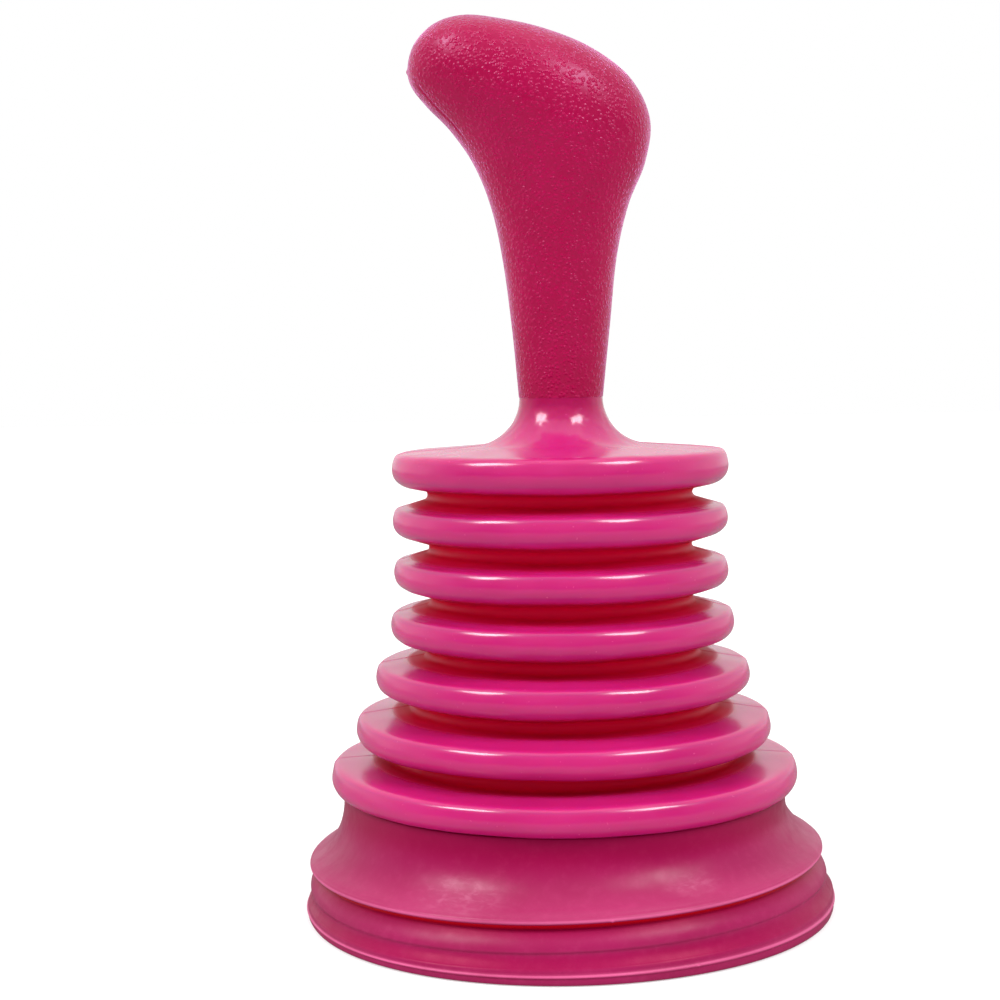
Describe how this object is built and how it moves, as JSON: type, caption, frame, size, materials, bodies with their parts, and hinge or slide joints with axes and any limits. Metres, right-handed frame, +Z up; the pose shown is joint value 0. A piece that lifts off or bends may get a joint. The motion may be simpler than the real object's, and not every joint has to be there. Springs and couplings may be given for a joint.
{
  "type": "sink plunger",
  "caption": "Hand-held sink plunger: a one-piece hollow plastic body with a palm-grip handle and a widening bellows, plugged into a soft rubber suction cup.",
  "frame": {"origin": "on the cup's axis, on the plane that the foot flange stands on", "axes": "+Z up along the bellows axis to the handle, -X the way the grip leans over, Y = 0 the mould's parting plane"},
  "size_m": [0.1334, 0.1334, 0.2229],
  "materials": {
    "grip_plastic": "fine pebble grain",
    "bellows_plastic": "smooth and shiny",
    "cup_rubber": "soft, dull, a little dusty"
  },
  "bodies": {
    "cup_foot": {"foot_ring": "cup_rubber", "cup_skirt": "cup_rubber"},
    "cup_rim": {"cup_lip": "cup_rubber", "cup_flare": "cup_rubber"},
    "bellows_base": {"ring_7": "bellows_plastic", "spigot": "bellows_plastic", "cup_collar": "cup_rubber", "fold_6": "bellows_plastic"},
    "bellows_ring_6": {"ring_6": "bellows_plastic", "fold_5": "bellows_plastic"},
    "bellows_ring_5": {"ring_5": "bellows_plastic", "fold_4": "bellows_plastic"},
    "bellows_ring_4": {"ring_4": "bellows_plastic", "fold_3": "bellows_plastic"},
    "bellows_ring_3": {"ring_3": "bellows_plastic", "fold_2": "bellows_plastic"},
    "bellows_ring_2": {"ring_2": "bellows_plastic", "fold_1": "bellows_plastic"},
    "handle": {"ring_1": "bellows_plastic", "shoulder": "bellows_plastic", "grip": "grip_plastic"}
  },
  "joints": [
    {"name": "cup_squash", "type": "slide", "parent": "cup_foot", "child": "cup_rim", "axis": [0, 0, 1], "range_m": [-0.0035, 0.0015], "stiffness_N_per_m": 9000, "deforming": ["cup_skirt"]},
    {"name": "cup_rock", "type": "hinge", "parent": "cup_rim", "child": "bellows_base", "pos_m": [0, 0, 0.02], "axis": [0, 1, 0], "range_deg": [-6, 6], "stiffness_Nm_per_rad": 12, "deforming": ["cup_flare"]},
    {"name": "bellows_pump", "type": "slide", "parent": "bellows_base", "child": "bellows_ring_6", "axis": [0, 0, 1], "range_m": [-0.003, 0.0017], "stiffness_N_per_m": 10500, "deforming": ["fold_6"]},
    {"name": "fold_5_slide", "type": "slide", "parent": "bellows_ring_6", "child": "bellows_ring_5", "axis": [0, 0, 1], "range_m": [-0.0044, 0.0025], "stiffness_N_per_m": 7200, "deforming": ["fold_5"]},
    {"name": "fold_4_slide", "type": "slide", "parent": "bellows_ring_5", "child": "bellows_ring_4", "axis": [0, 0, 1], "range_m": [-0.0044, 0.0025], "stiffness_N_per_m": 7200, "deforming": ["fold_4"]},
    {"name": "fold_3_slide", "type": "slide", "parent": "bellows_ring_4", "child": "bellows_ring_3", "axis": [0, 0, 1], "range_m": [-0.0044, 0.0025], "stiffness_N_per_m": 7200, "deforming": ["fold_3"]},
    {"name": "fold_2_slide", "type": "slide", "parent": "bellows_ring_3", "child": "bellows_ring_2", "axis": [0, 0, 1], "range_m": [-0.0044, 0.0025], "stiffness_N_per_m": 7200, "deforming": ["fold_2"]},
    {"name": "fold_1_slide", "type": "slide", "parent": "bellows_ring_2", "child": "handle", "axis": [0, 0, 1], "range_m": [-0.0044, 0.0025], "stiffness_N_per_m": 7200, "deforming": ["fold_1"]}
  ],
  "couplings": [
    {"joint": "fold_5_slide", "follows": "bellows_pump", "ratio": 1.4666},
    {"joint": "fold_4_slide", "follows": "bellows_pump", "ratio": 1.4666},
    {"joint": "fold_3_slide", "follows": "bellows_pump", "ratio": 1.4666},
    {"joint": "fold_2_slide", "follows": "bellows_pump", "ratio": 1.4666},
    {"joint": "fold_1_slide", "follows": "bellows_pump", "ratio": 1.4666}
  ]
}
